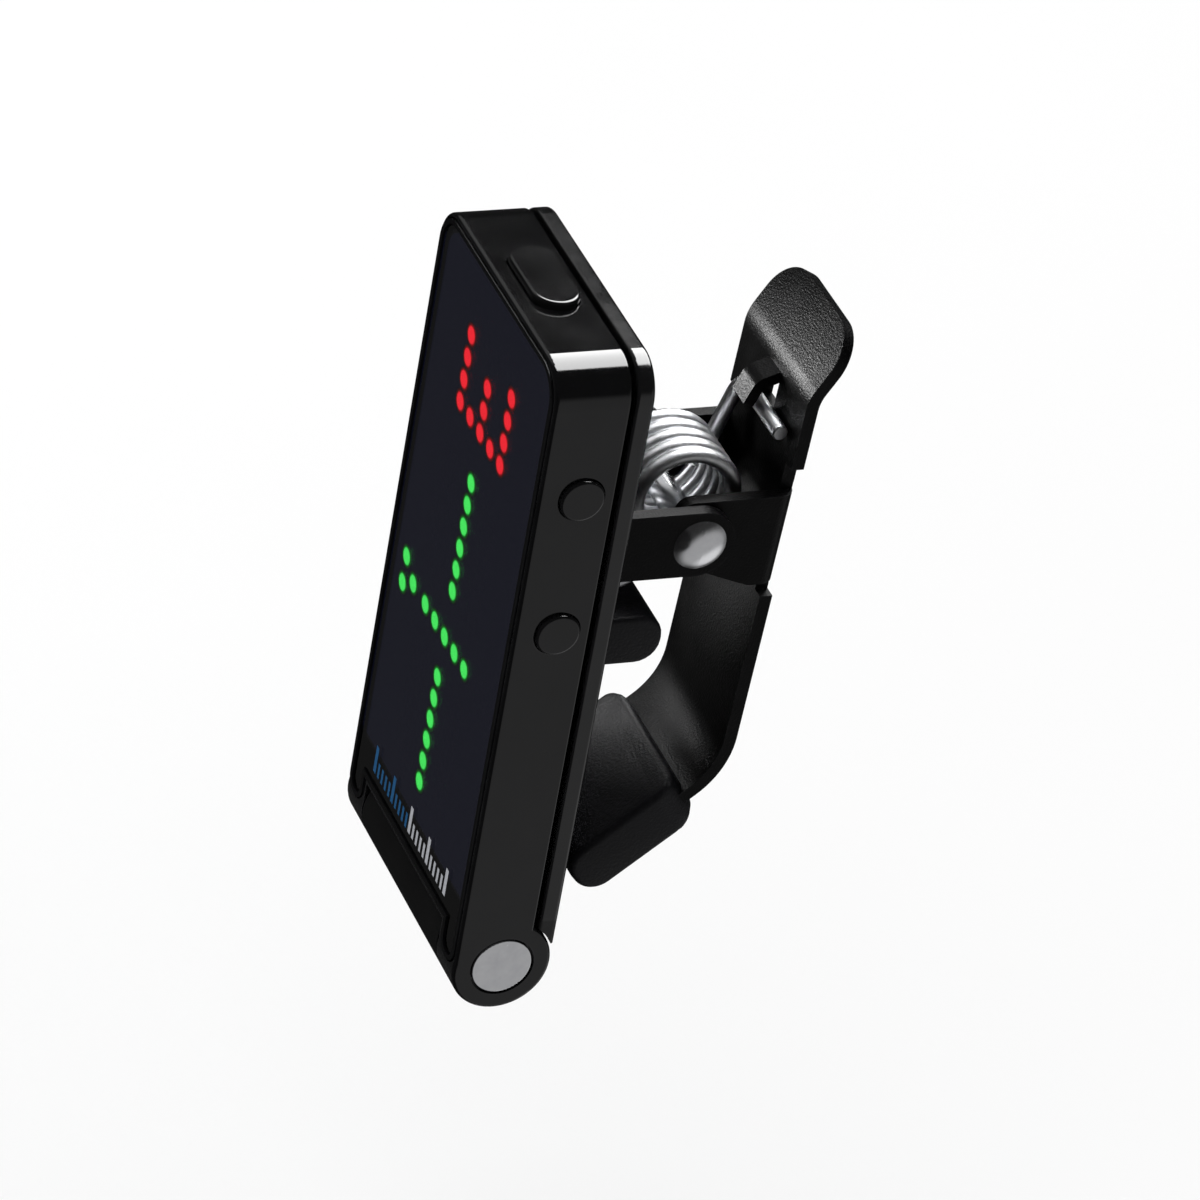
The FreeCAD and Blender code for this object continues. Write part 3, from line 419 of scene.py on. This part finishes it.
def soft_prism(builder, outline, half, edge_r, to_point, shape=None, slices=26):
    """Solid along X with the (y, z) outline; its two end faces are rounded off by edge_r."""
    angles = [math.radians(90 * k / EDGE_STEPS) for k in range(EDGE_STEPS + 1)]
    layers = [(-half + edge_r * (1 - math.cos(a)), edge_r * (1 - math.sin(a))) for a in angles]
    run = [(-half + edge_r + (2 * half - 2 * edge_r) * k / slices, 0.0) for k in range(1, slices)]
    layers = layers + run + [(-x, inset) for x, inset in reversed(layers)]
    rings = []
    for x, inset in layers:
        ring = []
        for p in inward(outline, inset) if inset > 1e-9 else outline:
            y, z = shape(x, p.x, p.y) if shape else (p.x, p.y)
            ring.append(builder.verts.new(to_point(x, y, z)))
        rings.append(ring)
    for first, second in zip(rings, rings[1:]):
        bridge(builder, first, second)
    builder.faces.new(rings[0])
    builder.faces.new(rings[-1])


# ---------------------------------------------------------------- torsion spring
WIRE_R = 0.6
COIL_R = 3.65
COIL_MIDDLE = (0.43, 12.05, 34.65)
COIL_PITCH = 1.26
COIL_TURNS = 5
UPPER_LEAVE_DEG = -20.0
LOWER_LEAVE_DEG = 295.7
UPPER_ARM = 7.5
LOWER_ARM = 8.9
HOOK_END_X = 4.4
HOOK_BEND_R = 1.3
WIRE_CHAMFER = 0.1
TURN_STEPS = 64
FOOT_STEPS = 8
ARM_STEPS = 6
BEND_STEPS = 16


def spring_pieces():
    """The coil with its lower arm stays where it is built, between frame and lever; the hook goes with the lever.
    """
    start, end = math.radians(LOWER_LEAVE_DEG - 360), math.radians(UPPER_LEAVE_DEG)
    sweep = end - start + 2 * math.pi * COIL_TURNS
    drift = COIL_PITCH / (2 * math.pi)
    middle_x, coil_y, coil_z = COIL_MIDDLE
    first_x = middle_x + 0.5 * drift * sweep

    def on_coil(angle):
        return at(first_x - drift * (angle - start), coil_y + COIL_R * math.cos(angle),
                  coil_z + COIL_R * math.sin(angle))

    def tangent(angle):
        return Vector((-drift, -COIL_R * math.sin(angle), COIL_R * math.cos(angle))).normalized()

    steps = int(TURN_STEPS * sweep / (2 * math.pi))
    foot = on_coil(start) - tangent(start) * LOWER_ARM * MM
    path = [foot.lerp(on_coil(start), k / FOOT_STEPS) for k in range(FOOT_STEPS)]
    path += [on_coil(start + sweep * k / steps) for k in range(steps + 1)]
    builder = bmesh.new()
    tube(builder, path, WIRE_R * MM, chamfer=WIRE_CHAMFER * MM)
    coil = add_piece("spring_coil", builder, "spring_zinc")

    rise = tangent(start + sweep)
    leave = on_coil(start + sweep)
    corner = leave + rise * UPPER_ARM * MM
    bend = HOOK_BEND_R * MM
    path = [leave.lerp(corner - rise * bend, k / ARM_STEPS) for k in range(ARM_STEPS)]
    centre = corner - rise * bend + Vector((1, 0, 0)) * bend
    for k in range(BEND_STEPS + 1):
        turn = math.radians(90 * k / BEND_STEPS)
        path.append(centre - Vector((1, 0, 0)) * bend * math.cos(turn) + rise * bend * math.sin(turn))
    hook_end = Vector((at(HOOK_END_X, 0, 0).x, corner.y, corner.z))
    path += [path[-1].lerp(hook_end, k / ARM_STEPS) for k in range(1, ARM_STEPS + 1)]
    builder = bmesh.new()
    tube(builder, path, WIRE_R * MM, chamfer=WIRE_CHAMFER * MM)
    hook = add_piece("spring_hook", builder, "spring_zinc")

    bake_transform(coil)
    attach(hook, "lever")
    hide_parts("torsion_spring")
    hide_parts("torsion_spring")


spring_pieces()


# ---------------------------------------------------------------- rubber jaws
JAW_HALF = 6.4
BOOT_MIDDLE = (11.7, 6.3)
BOOT_SLOPE_DEG = 40.0
DISH = 0.035                 # share of the boot's thickness lost at the middle of its faces
GROOVE_DEPTH = 0.02          # share lost in the groove near its mouth
GROOVE_BACK = 1.75
GROOVE_WIDTH = 0.12
FIRST_RIB = 1.4              # above the pad's lower end
PLAIN_TOP = 1.0              # left without ribs below the stop lip
RIB_PITCH = 1.6
RIB_DEPTH = 0.22


def lever_boot():
    """Rubber boot on the lever's tip: slightly dished gripping face, a fine moulded groove near its mouth, the
    mouth's corners drawn back.
    """
    low, high, thick = -5.5, 5.1, 2.15
    corner_r, corner_from = 1.6, 1.5
    outline = rounded_outline([(low, -thick, 1.9), (high, -thick, 1.7),
                               (high, thick, 0.6), (low, thick, 1.9)])
    outline = resampled(outline, 0.35)
    slope = math.radians(BOOT_SLOPE_DEG)

    def place(x, along, across):
        return at(x, BOOT_MIDDLE[0] + along * math.cos(slope) - across * math.sin(slope),
                  BOOT_MIDDLE[1] + along * math.sin(slope) + across * math.cos(slope))

    def sag(x, along, across):
        """Faces dished a little, a fine groove near the mouth, the mouth's corners drawn back."""
        span = max(0.0, 1 - (x / JAW_HALF) ** 2) * max(0.0, 1 - (along / high) ** 2)
        mouth = math.exp(-((along - high + GROOVE_BACK) / GROOVE_WIDTH) ** 2)
        across *= 1 - DISH * span - GROOVE_DEPTH * mouth
        over = max(0.0, abs(x) - JAW_HALF + corner_r)
        drawn_back = corner_r - math.sqrt(max(0.0, corner_r ** 2 - over ** 2))
        if along > corner_from:
            along -= drawn_back * (along - corner_from) / (high - corner_from)
        return along, across

    builder = bmesh.new()
    soft_prism(builder, outline, JAW_HALF, 0.5, place, sag)
    boot = add_piece("jaw_boot_rubber", builder, "jaw_rubber", SHARP_RUBBER_DEG)
    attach(boot, "lever")
    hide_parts("lever_jaw_boot")


def fixed_pad():
    """Rubber on the bracket: ribbed gripping face below a thick rounded stop lip."""
    back, face, nose = 4.87, 6.25, 10.75
    low, shelf_low, top = 1.6, 22.4, 26.5
    profile = [(back, low, 0.2), (face, low, 0.45)]
    ribs = int((shelf_low - low - FIRST_RIB - PLAIN_TOP) / RIB_PITCH)
    for k in range(ribs):
        z = low + FIRST_RIB + k * RIB_PITCH
        profile += [(face, z, 0.12), (face - RIB_DEPTH, z + 0.2, 0.08),
                    (face - RIB_DEPTH, z + 0.5, 0.08), (face, z + 0.7, 0.12)]
    profile += [(face, shelf_low, 0.4), (nose, shelf_low, 1.9), (nose, top, 1.9), (back, top, 0.5)]
    outline = resampled(rounded_outline(profile, 6), 0.5)
    builder = bmesh.new()
    soft_prism(builder, outline, JAW_HALF, 0.4, at)
    pad = add_piece("fixed_jaw_rubber", builder, "jaw_rubber", SHARP_RUBBER_DEG)
    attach(pad, "clip_frame")
    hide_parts("fixed_jaw_pad")


lever_boot()
fixed_pad()


# ---------------------------------------------------------------- light points
DOT_R = 0.84
DOT_PITCH_X = 2.1
DOT_PITCH_Z = 1.88
NOTE_BASE_Z = 39.4
BAR_BASES = (25.65, 8.6)
MIDDLE_BAR_Z = 21.6
POINTER_X = -8.15
BAR_DOTS = 6
DIFFUSER_Y = -3.15
DIFFUSER_DOME = 0.035
DIFFUSER_LIFT = 0.004
SKIRT_DEPTH = 0.0035
# share of the point's radius, and how brightly it glows there
DIFFUSER_RINGS = ((0.3, 1.0), (0.6, 1.0), (0.74, 0.92), (0.82, 0.66), (0.88, 0.34), (0.94, 0.16),
                  (1.0, 0.09), (1.09, 0.03), (1.16, 0.0))


def lit_places():
    """(x, z) of the lit points: a note letter in red, and two bars and a pointer in green."""
    heights = {-2: 4, -1: 1, 0: 3, 1: 1, 2: 4}
    red = [(column * DOT_PITCH_X, NOTE_BASE_Z + row * DOT_PITCH_Z)
           for column, height in heights.items() for row in range(height)]
    green = [(0.0, base + row * DOT_PITCH_Z) for base in BAR_BASES for row in range(BAR_DOTS)]
    green += [(column * DOT_PITCH_X, MIDDLE_BAR_Z) for column in heights]
    green += [(POINTER_X + across, MIDDLE_BAR_Z + up)
              for across, up in ((-0.65, 1.15), (-0.65, -1.15), (1.25, 0.0))]
    return red, green


def diffusers(name, places, slot, node, sides=28):
    """Slightly domed diffusers with a thin skirt that catches the spill of light."""
    builder = bmesh.new()
    glow = builder.verts.layers.float.new("glow")
    for x, z in places:
        middle = builder.verts.new(at(x, DIFFUSER_Y - DIFFUSER_DOME, z))
        middle[glow] = 1.0
        last = None
        for share, level in DIFFUSER_RINGS:
            depth = DIFFUSER_Y - DIFFUSER_DOME * max(0.0, 1 - share * share) - DIFFUSER_LIFT
            ring = []
            for k in range(sides):
                turn = 2 * math.pi * k / sides
                vertex = builder.verts.new(at(x + DOT_R * share * math.cos(turn), depth,
                                              z + DOT_R * share * math.sin(turn)))
                vertex[glow] = level
                ring.append(vertex)
            if last is None:
                for k in range(sides):
                    builder.faces.new((middle, ring[k], ring[(k + 1) % sides]))
            else:
                bridge(builder, last, ring)
            last = ring
        rear = [builder.verts.new(v.co + Vector((0, SKIRT_DEPTH * MM, 0))) for v in last]
        bridge(builder, last, rear)
        builder.faces.new(rear)
    made = add_piece(name, builder, slot)
    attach(made, "display_unit")
    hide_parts(node)


red_places, green_places = lit_places()
diffusers("lit_diffusers_red", red_places, "light_red", "light_dots_red")
diffusers("lit_diffusers_green", green_places, "light_green", "light_dots_green")


# ---------------------------------------------------------------- printed scale
SCALE_TICKS = 21
SCALE_LONG_EVERY = 5
SCALE_LEFT, SCALE_RIGHT, SCALE_FOOT = -7.6, 7.9, 4.0
SCALE_LONG = (2.3, 0.24)     # height and half width of a long tick
SCALE_SHORT = (1.25, 0.17)
INK_SPLIT_X = -0.3
INK_THICK = 0.012


def printed_scale():
    """Plain tick scale printed near the lens's lower end."""
    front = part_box("display_lens")[0].y
    builder = bmesh.new()
    for k in range(SCALE_TICKS):
        x = SCALE_LEFT + (SCALE_RIGHT - SCALE_LEFT) * k / (SCALE_TICKS - 1)
        tall, wide = SCALE_SHORT if k % SCALE_LONG_EVERY else SCALE_LONG
        top = SCALE_FOOT + tall
        corners = [(x - wide, SCALE_FOOT), (x + wide, SCALE_FOOT), (x + wide, top), (x - wide, top)]
        rings = []
        for rise in (0.0, INK_THICK):
            points = [at(cx, 0, cz) for cx, cz in corners]
            rings.append([builder.verts.new((p.x, front - rise * MM, p.z)) for p in points])
            builder.faces.new(rings[-1])
        bridge(builder, *rings)
    made = add_piece("printed_scale", builder, "mask_black")
    made.data.materials.clear()
    made.data.materials.append(printed_ink(at(INK_SPLIT_X, 0, 0).x))
    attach(made, "display_unit")


printed_scale()


# ---------------------------------------------------------------- studio
FLOOR_DROP = 0.050
FLOOR_R = 3.0
DOME_R = 1.1
WORLD_LEVEL = 0.92
# key light: azimuth, elevation, distance, size and power
KEY_LIGHT = (-60, 62, 0.9, 0.7, 1.6)
CAMERA_LENS, CAMERA_SENSOR = 225.12, 36.0
CAMERA_AT = (0.4118, -0.20385, 0.3131)
CAMERA_AHEAD = (-0.7483, 0.3743, -0.5476)
CAMERA_UP = (-0.5636, 0.0764, 0.8225)
# reflections: azimuth, elevation, inner and outer half angle in degrees, brightness
REFLECTED = (
    (125, -35, 32, 48, 0.42),
    (-117, 26, 20, 40, 0.03),
    (-75, 48, 14, 34, 0.7),
    (52, -12, 30, 34, 0.01),
    (-63, -36, 14, 22, 0.05),
    (160, -50, 8, 24, 0.85),
    (-141.5, 57.3, 25.2, 26.2, 17.0),
)
REFLECTED_BASE = 0.03
# cards that light the lever and its boot alone
# in millimetres from the hinge pin: place across, y range, z range and brightness
CARD_LIT = ("clip_lever", "jaw_boot_rubber")
CARDS = {
    "card_bend": (-18.0, (-6.5, -0.5), (10.0, 14.5), 50.0),
    "card_boot": (-18.0, (-6.5, -1.5), (18.0, 23.0), 90.0),
    "card_thumb": (-30.0, (-14.0, -5.0), (38.0, 46.0), 105.0),
}


def studio_floor():
    """Pale matt floor that gloss and the lens don't show."""
    builder = bmesh.new()
    bmesh.ops.create_circle(builder, cap_ends=True, segments=96, radius=FLOOR_R)
    mesh = bpy.data.meshes.new("floor")
    builder.to_mesh(mesh)
    builder.free()
    floor = bpy.data.objects.new("floor", mesh)
    bpy.context.scene.collection.objects.link(floor)
    floor.location = (0, 0, -FLOOR_DROP)
    floor.visible_glossy = False
    floor.visible_transmission = False
    made, graph, shader = new_material("pale_floor")
    graph.feed(shader.inputs["Base Color"],
               graph.blend(graph.noise(14.0), rgba((0.93, 0.93, 0.93)), rgba((0.95, 0.95, 0.95))))
    shader.inputs["Roughness"].default_value = 1.0
    shader.inputs["Specular IOR Level"].default_value = 0.0
    mesh.materials.append(made)


def reflection_dome():
    """What the gloss mirrors: soft panels on a dim studio, unseen by the camera."""
    builder = bmesh.new()
    bmesh.ops.create_icosphere(builder, subdivisions=5, radius=DOME_R)
    mesh = bpy.data.meshes.new("reflection_dome")
    builder.to_mesh(mesh)
    builder.free()
    dome = bpy.data.objects.new("reflection_dome", mesh)
    bpy.context.scene.collection.objects.link(dome)
    for ray in ("camera", "diffuse", "shadow", "volume_scatter"):
        setattr(dome, "visible_" + ray, False)
    made = bpy.data.materials.new("reflection_dome")
    made.use_nodes = True
    made.cycles.emission_sampling = "NONE"
    made.node_tree.nodes.clear()
    graph = Graph(made.node_tree)
    place = graph.node("ShaderNodeTexCoord").outputs["Object"]
    outward = graph.node("ShaderNodeVectorMath", {0: place}, operation="NORMALIZE").outputs[0]
    level = REFLECTED_BASE
    for azimuth, elevation, inner, outer, brightness in REFLECTED:
        toward = graph.node("ShaderNodeVectorMath", {0: outward, 1: heading(azimuth, elevation)},
                            operation="DOT_PRODUCT").outputs["Value"]
        share = graph.remap(toward, math.cos(math.radians(outer)), math.cos(math.radians(inner)),
                            smooth=True)
        kept = graph.math("MULTIPLY", graph.math("SUBTRACT", 1.0, share), level)
        level = graph.math("ADD", kept, graph.math("MULTIPLY", share, brightness))
    light = graph.node("ShaderNodeEmission", {"Strength": level})
    output = graph.node("ShaderNodeOutputMaterial")
    graph.feed(output.inputs["Surface"], light.outputs[0])
    mesh.materials.append(made)


def card_receivers():
    """The pieces named in CARD_LIT, which the cards light."""
    lit = bpy.data.collections.new("card_receivers")
    for name in CARD_LIT:
        lit.objects.link(bpy.data.objects[name])
    return lit


def reflection_card(name, receivers, x, y_range, z_range, brightness):
    """Small upright card left of the clip, seen only in its reflections."""
    builder = bmesh.new()
    (near, far), (low, high) = y_range, z_range
    corners = [at(x, y, z) for y, z in ((near, low), (far, low), (far, high), (near, high))]
    builder.faces.new([builder.verts.new(corner) for corner in corners])
    mesh = bpy.data.meshes.new(name)
    builder.to_mesh(mesh)
    builder.free()
    card = bpy.data.objects.new(name, mesh)
    bpy.context.scene.collection.objects.link(card)
    for ray in ("camera", "diffuse", "shadow", "transmission", "volume_scatter"):
        setattr(card, "visible_" + ray, False)
    card.light_linking.receiver_collection = receivers
    made = bpy.data.materials.new(name)
    made.use_nodes = True
    made.node_tree.nodes.clear()
    graph = Graph(made.node_tree)
    light = graph.node("ShaderNodeEmission", {"Strength": brightness})
    output = graph.node("ShaderNodeOutputMaterial")
    graph.feed(output.inputs["Surface"], light.outputs[0])
    mesh.materials.append(made)


def soft_light(name, azimuth, elevation, distance, size, power):
    """Square area light aimed at the object, unseen in its gloss."""
    data = bpy.data.lights.new(name, "AREA")
    data.shape = "SQUARE"
    data.size = size
    data.energy = power
    lamp = bpy.data.objects.new(name, data)
    lamp.location = heading(azimuth, elevation) * distance
    lamp.rotation_mode = "QUATERNION"
    lamp.rotation_quaternion = heading(azimuth, elevation).to_track_quat("Z", "Y")
    lamp.visible_glossy = False
    bpy.context.scene.collection.objects.link(lamp)


def studio_world():
    world = bpy.data.worlds.new("studio")
    world.use_nodes = True
    background = world.node_tree.nodes["Background"]
    background.inputs["Color"].default_value = (1.0, 1.0, 1.0, 1.0)
    background.inputs["Strength"].default_value = WORLD_LEVEL
    bpy.context.scene.world = world


def camera():
    """Long-lens camera at the photograph's viewing angle."""
    data = bpy.data.cameras.new("camera")
    data.lens = CAMERA_LENS
    data.sensor_width = CAMERA_SENSOR
    data.clip_start, data.clip_end = 0.01, 20.0
    eye = bpy.data.objects.new("camera", data)
    ahead = Vector(CAMERA_AHEAD).normalized()
    up = Vector(CAMERA_UP)
    up = (up - ahead * up.dot(ahead)).normalized()
    axes = Matrix((ahead.cross(up), up, -ahead)).transposed()
    eye.matrix_world = Matrix.Translation(CAMERA_AT) @ axes.to_4x4()
    bpy.context.scene.collection.objects.link(eye)
    bpy.context.scene.camera = eye


studio_floor()
reflection_dome()
lit_by_cards = card_receivers()
for card_name, card_setting in CARDS.items():
    reflection_card(card_name, lit_by_cards, *card_setting)
soft_light("key_light", *KEY_LIGHT)
studio_world()
camera()
bpy.context.scene.view_settings.view_transform = "Standard"
